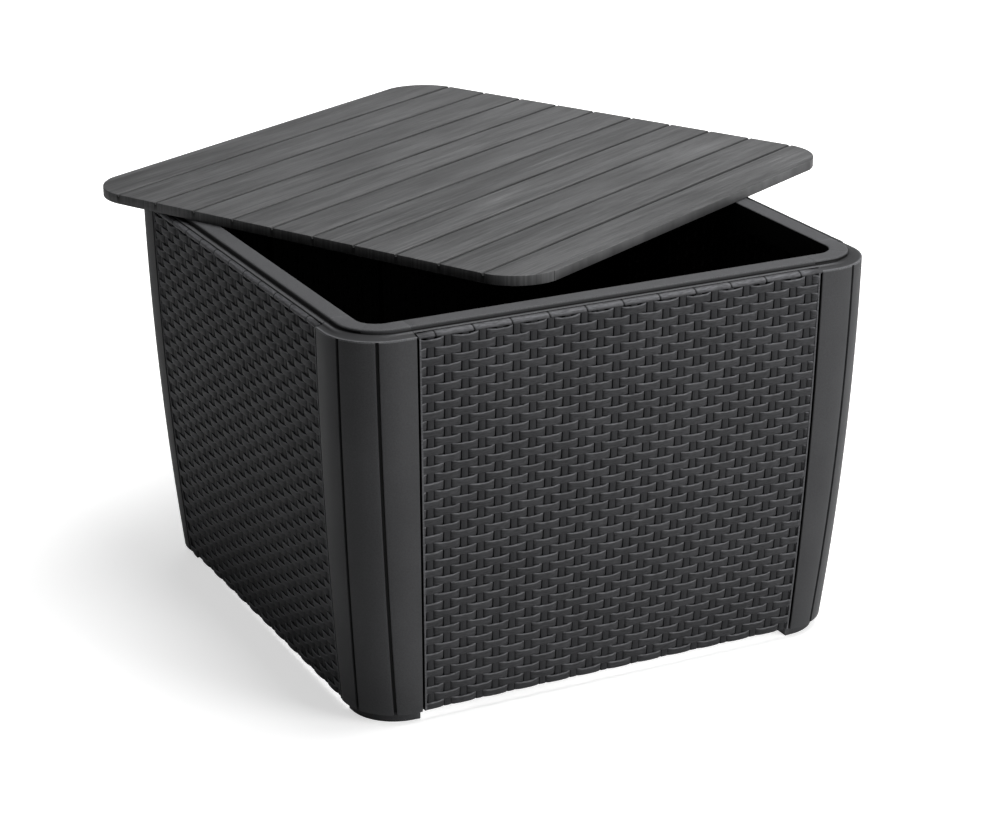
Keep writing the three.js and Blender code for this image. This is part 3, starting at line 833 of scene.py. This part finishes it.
# Across it, from the lower edge round the front to the back: up, back and shade. The shade paints a highlight
# along the top edge, and shade along the lower edge and behind
STRAND_SECTION = (
    (-1.0, 2.6, -0.75), (-0.93, 1.4, -0.5), (-0.8, 0.7, -0.05), (-0.55, 0.3, 0.0), (-0.1, 0.15, 0.0),
    (0.3, 0.05, 0.0), (0.68, 0.0, 0.05), (0.8, 0.0, 0.65), (0.95, 0.2, 1.0), (1.02, 0.8, 0.5),
    (0.98, 2.6, -0.4), (-0.9, 5.2, SHADED),
)
# Across a stake: along the panel in halves of its width, back and shade. Its sides are painted dark, as shade
# in the crevices beside the strands
STAKE_SECTION = (
    (-1.0, 4.2, SHADED), (-1.0, 0.7, SHADED), (-0.97, 0.3, -0.4), (-0.85, 0.05, 0.0), (0.0, 0.0, 0.05),
    (0.85, 0.05, 0.0), (0.97, 0.3, -0.4), (1.0, 0.7, SHADED), (1.0, 4.2, SHADED),
)
# The smooth flange beside each post, from its outer edge round the front: in from the face, across and shade.
# The shade is painted: dark in the groove at the post, a highlight on the flange's edge
BORDER_SECTION = (
    (BACKING_BACK, 0.0, SHADED), (BORDER_INSET + 1.6, 0.0, SHADED), (BORDER_INSET + 0.5, 0.0, -0.5),
    (BORDER_INSET + 0.1, 0.2, 0.3), (BORDER_INSET, 0.7, 0.6), (BORDER_INSET, BORDER - 0.8, 0.4),
    (BORDER_INSET + 0.3, BORDER - 0.2, 0.1), (BORDER_INSET + 1.2, BORDER, 0.0),
    (BORDER_INSET + 2.2, BORDER + 0.1, -0.3), (BACKING_BACK, BORDER + 0.6, SHADED),
)
# The lip round the hose notch: in from the face, and out from the notch's edge
NOTCH_SECTION = (
    (BACKING_BACK, -0.2), (1.6, -0.2), (1.0, 0.3), (0.8, 1.2), (1.0, 2.1), (1.8, 2.7), (BACKING_BACK, 2.7),
)


def strand(k, row, rng, low, high):
    """One strand of the weave over stake k, clipped between two distances along the side."""
    z = course_height(row)
    middle = stake_place(k, z)
    shares = [side * s for s, _, _ in STRAND_DIVE for side in (-1, 1) if s or side > 0]
    shares = [s for s in shares if low < middle + s * STRAND_HALF < high]
    for limit in (low, high):
        share = (limit - middle) / STRAND_HALF
        if abs(share) < STRAND_REACH:
            shares.append(share)
    shares.sort()
    if len(shares) < 2 or (shares[-1] - shares[0]) * STRAND_HALF < STRAND_SHORTEST:
        return None
    tilt = rng.uniform(-STRAND_TILT, STRAND_TILT)
    lift = rng.uniform(-STRAND_LIFT, STRAND_LIFT)
    proud = rng.uniform(-STRAND_PROUD, STRAND_PROUD)
    places, dives, dark = zip(*STRAND_DIVE)
    rings, shades = [], []
    for share in shares:
        back_at = float(np.interp(abs(share), places, dives)) + STRAND_CREST
        shade_at = float(np.interp(abs(share), places, dark))
        reach = float(np.interp(abs(share), *zip(*STRAND_WIDTH)))
        ripple = rng.uniform(-STRAND_RIPPLE, STRAND_RIPPLE)
        ring = []
        for up, back, _ in STRAND_SECTION:
            height = z + lift + tilt * share + up * reach + (ripple if up > 0.9 else 0.0)
            height = min(max(height, PANEL_BOTTOM), PANEL_TOP)
            inset = back_at + back + proud * (1 - share * share) + (ripple if 0.6 < up else 0.0)
            ring.append((face_at(height) - inset, middle + share * STRAND_HALF, height))
        rings.append(ring)
        # Painted light on the strand: its top edge's highlight varies at random, and the shade along its
        # lower edge grows toward the ends
        glint = rng.uniform(-STRAND_GLINT, STRAND_GLINT)
        under = min(1.0, abs(share) / 0.6) ** 2
        ring_shades = []
        for up, _, shade in STRAND_SECTION:
            if up < -0.6:
                shade *= under * 1.3
            elif up > 0.7:
                shade += glint
            ring_shades.append(max(SHADED, min(1.0, shade + shade_at)))
        shades.append(ring_shades)
    return loft(rings, shades)


def notch_half(z):
    """Half the width of the hose notch at a height."""
    over = z - NOTCH_BASE
    if over <= 0.0:
        return NOTCH_HALF
    return math.sqrt(max(0.0, NOTCH_HALF ** 2 - over ** 2)) if over < NOTCH_HALF else 0.0


def strands(notched):
    """Every strand of a panel, and its tone. A strand that meets the notch is two, with the same draws."""
    rng = random.Random(STRAND_SEED)
    shapes, tones = [], []
    for row in range(COURSES):
        z = course_height(row)
        limit = edge_at(z) - EDGE_GROOVE - BORDER + 0.6
        for k in range(-1, STAKES + 1):
            if (k + row) % 2:
                continue
            spans = [(-limit, limit)]
            hole = notch_half(z - STRAND_HEIGHT) if notched else 0.0
            if hole:
                spans = [(-limit, -hole - NOTCH_CLEAR), (hole + NOTCH_CLEAR, limit)]
            tone = rng.random()
            state = rng.getstate()
            for low, high in spans:
                rng.setstate(state)
                made = strand(k, row, rng, low, high)
                if made:
                    shapes.append(made)
                    tones.append(tone)
    return shapes, tones


def upright(ring_at, low, high, count, shades=0.0):
    """A body that follows the panel's bow from one height to another."""
    return loft([[(x, y, z) for x, y in ring_at(z)] for z in np.linspace(low, high, count)], shades)


def stake_shapes(notched):
    shades = [shade for _, _, shade in STAKE_SECTION]
    shapes = []
    for k in range(STAKES):
        low = PANEL_BOTTOM
        if notched and abs(stake_place(k, NOTCH_BASE + NOTCH_HALF)) < NOTCH_HALF + STAKE_HALF:
            low = NOTCH_BASE + NOTCH_HALF - 2.0

        def ring(z, k=k):
            place = stake_place(k, z)
            front = face_at(z) - STAKE_INSET
            return [(front - back, place + STAKE_HALF * across) for across, back, _ in STAKE_SECTION]

        shapes.append(upright(ring, low, STAKE_TOP, PANEL_LEVELS, shades))
    return shapes


def border_shapes():
    """The smooth flange beside each post, with the tongue that slides into the post's slot."""
    shades = [shade for _, _, shade in BORDER_SECTION]
    shapes = []
    for side in (-1.0, 1.0):
        def flange(z, side=side):
            face, outer = face_at(z), edge_at(z) - EDGE_GROOVE
            return [(face - inset, side * (outer - across)) for inset, across, _ in BORDER_SECTION]

        def tongue(z, side=side):
            face, edge = face_at(z), edge_at(z)
            start, tip = edge - EDGE_GROOVE - 1.0, edge + SLOT_DEPTH - TONGUE_GAP
            return [(face - TONGUE_FRONT, side * start), (face - TONGUE_BACK, side * start),
                    (face - TONGUE_BACK, side * tip), (face - TONGUE_FRONT, side * tip)]

        low = POST_BOTTOM + POST_PLATE + SEAT_GAP
        shapes.append(upright(flange, PANEL_BOTTOM, PANEL_TOP - 4.5, PANEL_LEVELS, shades))
        # The tongue lies in painted shadow, near black
        shapes.append(upright(tongue, low, POST_TOP - SEAT_GAP, HIDDEN_LEVELS, -1.0))
    return shapes


def roll_ring(s, shrink):
    """The rolled border's section at a distance along the side, round in front and squared off behind.

    It flattens into the shoulder at the ends."""
    flat = min(1.0, max(0.0, (abs(s) - ROLL_END + ROLL_FLAT_FROM) / ROLL_FLAT_OVER))
    flat = flat * flat * (3.0 - 2.0 * flat)
    low = ROLL_LOW + (ROLL_END_LOW - ROLL_LOW) * flat
    high = ROLL_HIGH + (ROLL_END_HIGH - ROLL_HIGH) * flat
    middle = ROLL_CROWN * (1.0 - flat) + ROLL_CROWN_LEAST + ROLL_FRONT
    ring = []
    for angle in range(-90, 271, 24):
        out, rise = math.cos(math.radians(angle)), math.sin(math.radians(angle))
        if out > 0:
            depth = middle - (ROLL_FRONT - shrink) * out
        else:
            depth = middle - ROLL_BACK * out
            rise = math.copysign(abs(rise) ** ROLL_BACK_POWER, rise)
        z = (low + high) / 2 + ((high - low) / 2 - 0.5 * shrink) * rise
        along = min(max(s + ROLL_SLANT * (PANEL_TOP - z), -ROLL_END), ROLL_END)
        ring.append((face_at(z) - depth, along, z))
    return ring


def roll_shapes():
    """The rolled upper border: one wrap after another, with slanted seams, its painted light calmer toward
    the ends.
    """
    seams = [ROLL_FIRST + ROLL_PITCH * i for i in range(ROLL_WRAPS)]
    ends = [-ROLL_END, *[s for s in seams if abs(s) < ROLL_END - 10.0], ROLL_END]
    shapes = []
    for start, stop in zip(ends, ends[1:]):
        length = stop - start
        rings, shades = [], []
        for share in ROLL_STATIONS:
            before = share if start > -ROLL_END else 1.0
            after = 1.0 - share if stop < ROLL_END else 1.0
            edge = max(0.0, 1.0 - length * min(before, after) / SEAM_REACH) ** 2
            place = start + SEAM_HALF + share * (length - 2 * SEAM_HALF)
            rings.append(roll_ring(place, SEAM_DEPTH * edge))
            calm = min(1.0, max(0.2, (ROLL_END - abs(start + share * length)) / ROLL_CALM))
            shades.append([max(SHADED, value * calm - SEAM_SHADE * edge ** 2) for value in ROLL_SHADES])
        shapes.append(loft(rings, shades))
    return shapes


def skin_ring(z, start, stop):
    """The back skin's section between two distances along the side."""
    front, back = face_at(z) - BACKING_FRONT, face_at(z) - BACKING_BACK
    return [(front, start), (front, stop), (back, stop), (back, start)]


def skin_end(z):
    return edge_at(z) - EDGE_GROOVE - 0.4


def backing_shapes(notched):
    """The panel's back skin behind the weave, its ribs and the shelf that carries the rail."""
    shapes = []
    top = PANEL_TOP - 1.0
    notch_top = NOTCH_BASE + NOTCH_HALF
    if notched:
        heights = [PANEL_BOTTOM, NOTCH_BASE]
        heights += [NOTCH_BASE + NOTCH_HALF * math.sin(a) for a in np.radians(np.linspace(7.5, 90, 12))]
        heights += list(np.linspace(notch_top + 10.0, top, 20))
        for side in (-1.0, 1.0):
            sections = [(z, skin_ring(z, side * notch_half(z), side * skin_end(z))) for z in heights]
            shapes.append(loft([[(x, y, z) for x, y in ring] for z, ring in sections]))
    else:
        shapes.append(upright(lambda z: skin_ring(z, -skin_end(z), skin_end(z)), PANEL_BOTTOM, top, 32))
    for place in RIB_PLACES:
        def rib(z, place=place):
            root = face_at(z) - BACKING_BACK + OVERLAP
            tip = root - RIB_DEPTH + OVERLAP
            wide, narrow = RIB_WIDTH / 2, RIB_WIDTH / 2 - RIB_DRAFT
            return [(root, place - wide), (root, place + wide), (tip, place + narrow), (tip, place - narrow)]

        low = notch_top + 2.0 if notched and place == 0.0 else RIB_BOTTOM
        shapes.append(upright(rib, low, SHELF_TOP, HIDDEN_LEVELS))
    root = face_at(SHELF_TOP) - TONGUE_BACK + OVERLAP
    tip = root - OVERLAP - RIB_DEPTH
    half = edge_at(SHELF_TOP) - SLOT_DEPTH
    low = SHELF_TOP - SHELF_THICKNESS
    levels = [
        (low, SHELF_EASE), (low + SHELF_EASE, 0.0), (SHELF_TOP - SHELF_EASE, 0.0), (SHELF_TOP, SHELF_EASE),
    ]
    shapes.append(slab([(tip, -half), (root, -half), (root, half), (tip, half)], levels))
    return shapes


def notch_frame():
    """The smooth lip round the hose notch."""
    half_way = (PANEL_BOTTOM + NOTCH_BASE) / 2
    path = [
        (-NOTCH_HALF, PANEL_BOTTOM), (-NOTCH_HALF, half_way),
        *reversed(arc(0.0, NOTCH_BASE, NOTCH_HALF, 0.0, 180.0, 28)),
        (NOTCH_HALF, half_way), (NOTCH_HALF, PANEL_BOTTOM),
    ]
    rings = []
    for x, z in path:
        away = Vector((x, max(z - NOTCH_BASE, 0.0))).normalized()
        face = face_at(z)
        rings.append([(face - inset, x + away.x * out, z + away.y * out) for inset, out in NOTCH_SECTION])
    return [loft(rings)]


# Lid, drawn flat about its own middle with the slats along x

def lid_reach(y, half, radius):
    """Half the length of a rounded square across a line at a distance from its middle."""
    over = abs(y) - (half - radius)
    if over <= 0.0:
        return half
    return half - radius + math.sqrt(max(0.0, radius * radius - over * over))


# A groove's side: out from its middle, and down from the slat's face
GROOVE_LIPS = (
    (SLAT_FLOOR / 2, SLAT_DEPTH), (SLAT_GROOVE / 2 - 0.25, 0.7), (SLAT_GROOVE / 2, 0.45),
    (SLAT_GROOVE / 2 + 0.5, 0.1), (SLAT_GROOVE / 2 + 0.8, 0.0),
)


def from_groove(y):
    """How far a line along the slats lies from the middle of the nearest groove."""
    place = y + LID_WIDTH / 2
    nearest = min(SLATS - 1, max(1, round(place / SLAT_PITCH)))
    return abs(place - nearest * SLAT_PITCH)


def lid_top_at(y):
    """The lid's upper surface across the slats: flat slats with eased edges and tapered grooves."""
    return LID_THICKNESS - float(np.interp(from_groove(y), *zip(*GROOVE_LIPS)))


def slat_shade(y):
    """How dark the lid's surface is at a distance from its middle: painted shade, black in a groove."""
    return float(np.interp(from_groove(y), [away for away, _ in GROOVE_LIPS[-2:]], (SHADED, 0.0)))


def lid_stations():
    """Where the lid's sections lie: at each bend of a groove, and closer together round the corners."""
    half = LID_WIDTH / 2
    places = set()
    for i in range(1, SLATS):
        middle = i * SLAT_PITCH - half
        for away, _ in GROOVE_LIPS:
            places.update((round(middle - away, 4), round(middle + away, 4)))
    for angle in np.radians(np.linspace(0.0, 90.0, LID_ARC_STEPS + 1)):
        y = half - LID_RADIUS + (LID_RADIUS - LID_ROUND) * math.sin(angle)
        places.update((round(y, 4), round(-y, 4)))
    return sorted(places)


def lid_body():
    """The lid's plate and skirt as one body, through sections across the slats."""
    half = LID_WIDTH / 2
    pocket_half, pocket_radius = half - LID_SKIRT, LID_RADIUS - LID_SKIRT
    ceiling = LID_THICKNESS - LID_PLATE
    turn = ROUND_MIDDLE * LID_ROUND
    ease = [(0.0, LID_ROUND), (turn, turn), (LID_ROUND, 0.0)]

    def ring(y, pocket, inset=0.0, rounding=0.0):
        reach = lid_reach(y, half, LID_RADIUS) - inset
        top = lid_top_at(y) - rounding
        inner = reach - 2.0
        if abs(y) <= pocket_half:
            inner = min(reach - 1.0, lid_reach(y, pocket_half, pocket_radius))
        right = [(reach - back, top - down) for down, back in ease]
        foot = [(reach - back, rounding + up) for up, back in reversed(ease)]
        side = right + foot + [(inner, rounding), (inner, ceiling if pocket else rounding)]
        groove = slat_shade(y)
        # Painted shade: the groove's black at the top, and the side and underside darker further down
        shade = [0.5 * groove, groove, groove, -0.1, -0.2, -0.3, -0.4, -0.4]
        points = [(x, y, z) for x, z in side] + [(-x, y, z) for x, z in reversed(side)]
        return points, shade + shade[::-1]

    rings = [(y, ring(y, abs(y) < pocket_half - 0.01)) for y in lid_stations()]
    for side in (-1.0, 1.0):
        edge = side * (half - LID_ROUND)
        for out, pocket in ((-0.001, True), (0.001, False)):
            y = side * (pocket_half + out)
            rings.append((y, ring(y, pocket)))
        rings.append((side * (half - turn), ring(edge, False, 0.2, turn)))
        rings.append((side * half, ring(edge, False, LID_ROUND, LID_ROUND)))
    rings.sort(key=lambda item: item[0])
    places = [[(x, y, z) for x, _, z in points] for y, (points, _) in rings]
    return loft(places, [shade for _, (_, shade) in rings])


def lid_rib(middle):
    """A rib under the lid, along the slats at a distance from its middle. Its top goes into the plate."""
    half = (LID_WIDTH - LID_SKIRT) / 2
    end = lid_reach(middle, half - 0.5, LID_RADIUS - 2.0) - 0.3
    low, high = middle - LID_RIB_WIDTH / 2, middle + LID_RIB_WIDTH / 2
    levels = [(LID_RIB_LIFT, 0.5), (LID_RIB_LIFT + 0.4, 0.2), (LID_THICKNESS - LID_PLATE + 0.8, 0.0)]
    return slab([(-end, low), (end, low), (end, high), (-end, high)], levels)


def lid_ribs():
    """A rib under each groove, and a few across them."""
    shapes = [lid_rib(i * SLAT_PITCH - LID_WIDTH / 2) for i in range(1, SLATS)]
    reach = (LID_WIDTH - LID_SKIRT - LID_RADIUS) / 2
    for i in range(LID_CROSS_RIBS):
        points, faces, shades = lid_rib((i + 1) * reach * 2 / (LID_CROSS_RIBS + 1) - reach)
        shapes.append((points[:, [1, 0, 2]], faces, shades))
    return shapes


# Putting the pieces in place

CORNERS = ("back_right", "back_left", "front_left", "front_right")
SIDES = ("right", "back", "left", "front")

post_mesh = mesh_from("post", smooth_resin, post_shapes(), SHARP)
cap_mesh = mesh_from("corner_cap", smooth_resin, cap_shapes(), SHARP)
foot_mesh = mesh_from("foot", smooth_resin, foot_shapes(), SHARP)
rail_mesh = mesh_from("rim_rail", smooth_resin, rail_shapes(), SHARP)
for i, corner in enumerate(CORNERS):
    for kind, mesh in (("post", post_mesh), ("corner_cap", cap_mesh), ("foot", foot_mesh)):
        piece(f"{kind}_{corner}_shell", mesh, "box", [f"{kind}_{corner}"], 90.0 * i)

woven = {}
for notched in (False, True):
    kind = "notched" if notched else "plain"
    shapes, tones = strands(notched)
    frame_shapes = border_shapes() + roll_shapes() + (notch_frame() if notched else [])
    woven[notched] = (
        ("strands", mesh_from(f"strands_{kind}", strand_resin, shapes, SHARP_WEAVE, tones)),
        ("stakes", mesh_from(f"stakes_{kind}", stake_resin, stake_shapes(notched), SHARP_WEAVE)),
        ("border", mesh_from(f"border_{kind}", strand_resin, frame_shapes, SHARP_WEAVE)),
        # The back skin behind the weave is all near black: painted shadow
        ("backing", mesh_from(f"backing_{kind}", painted_shadow_resin, backing_shapes(notched), SHARP)),
    )
for i, side in enumerate(SIDES):
    piece(f"rim_rail_{side}_bar", rail_mesh, "box", [f"rim_rail_{side}"], 90.0 * i)
    for kind, mesh in woven[side == "back"]:
        piece(f"{kind}_{side}", mesh, "box", [f"wicker_panel_{side}"], 90.0 * i)

lid_mesh = mesh_from("lid", slat_resin, [lid_body(), *lid_ribs()], SHARP)
lid_place = Matrix.Translation([value * MM for value in LID_PLACE])
lid_mesh.transform(lid_place @ Matrix.Rotation(math.radians(LID_TURN), 4, "Z"))
piece("lid_slats", lid_mesh, "lid", ["lid"])


# Floor, light and camera

def floor():
    """White paper that gives off a soft light of its own, weaker near the object: painted shade round it."""
    mesh = bpy.data.meshes.new("floor")
    corners = [(x * FLOOR_HALF, y * FLOOR_HALF, 0.0) for x, y in ((-1, -1), (1, -1), (1, 1), (-1, 1))]
    mesh.from_pydata(corners, [], [(0, 1, 2, 3)])
    obj = linked("floor", mesh)
    material, tree, surface, node = shader("floor_paper", grey(FLOOR_GREY)[:3], 0.9, 0.1)
    place = node("ShaderNodeTexCoord").outputs["Object"]
    speck = noise(node, place, EVEN, 40.0, 2.0)
    paper = mixed(node, speck, grey(FLOOR_GREY - FLOOR_SPECK), grey(FLOOR_GREY + FLOOR_SPECK))
    tree.links.new(paper, surface.inputs["Base Color"])
    path = node("ShaderNodeLightPath")
    gloss = ramp(node, path.outputs["Is Glossy Ray"], 0.0, 1.0, 0.0, FLOOR_GLOSS)
    away = node("ShaderNodeVectorMath", [(0, place)], operation="LENGTH")
    # Less glow near the object: painted shade that deepens its shadow
    near = ramp(node, away.outputs["Value"], *FLOOR_NEAR, *FLOOR_GLOW)
    levels = [("Value", path.outputs["Is Camera Ray"]), ("To Min", gloss), ("To Max", near)]
    share = node("ShaderNodeMapRange", levels)
    glow = node("ShaderNodeEmission", [("Strength", share.outputs["Result"])])
    glow.inputs["Color"].default_value = grey(1.0)
    both = node("ShaderNodeAddShader", [(0, surface.outputs[0]), (1, glow.outputs[0])])
    tree.links.new(both.outputs[0], tree.nodes["Material Output"].inputs["Surface"])
    mesh.materials.append(material)


def lamp(name, place, target, sides, power, mirrored):
    data = bpy.data.lights.new(name, "AREA")
    data.shape = "RECTANGLE"
    data.size, data.size_y = sides
    data.energy = power
    obj = linked(name, data)
    obj.location = place
    obj.rotation_mode = "QUATERNION"
    obj.rotation_quaternion = (Vector(target) - Vector(place)).to_track_quat("-Z", "Y")
    obj.visible_glossy = mirrored


def world():
    """White to the camera, and far weaker to reflections and to the rest."""
    made = bpy.data.worlds.new("studio")
    made.use_nodes = True
    tree = made.node_tree
    shade = tree.nodes["Background"]
    shade.inputs["Color"].default_value = grey(1.0)
    path = tree.nodes.new("ShaderNodeLightPath")
    level = None
    for ray, high in (("Is Glossy Ray", WORLD_GLOSS), ("Is Camera Ray", 1.0), ("Is Transmission Ray", 1.0)):
        mix = tree.nodes.new("ShaderNodeMapRange")
        mix.inputs["To Min"].default_value = WORLD_SOFT
        mix.inputs["To Max"].default_value = high
        if level:
            tree.links.new(level, mix.inputs["To Min"])
        tree.links.new(path.outputs[ray], mix.inputs["Value"])
        level = mix.outputs["Result"]
    tree.links.new(level, shade.inputs["Strength"])
    bpy.context.scene.world = made


def camera():
    data = bpy.data.cameras.new("camera")
    data.sensor_width = CAMERA_SENSOR
    data.lens = CAMERA_LENS
    data.clip_start, data.clip_end = CAMERA_CLIP
    obj = linked("camera", data)
    obj.location = CAMERA_PLACE
    obj.rotation_euler = [math.radians(angle) for angle in CAMERA_TURN]
    bpy.context.scene.camera = obj


floor()
for entry in LAMPS:
    lamp(*entry)
world()
camera()
bpy.context.scene.view_settings.view_transform = "Standard"
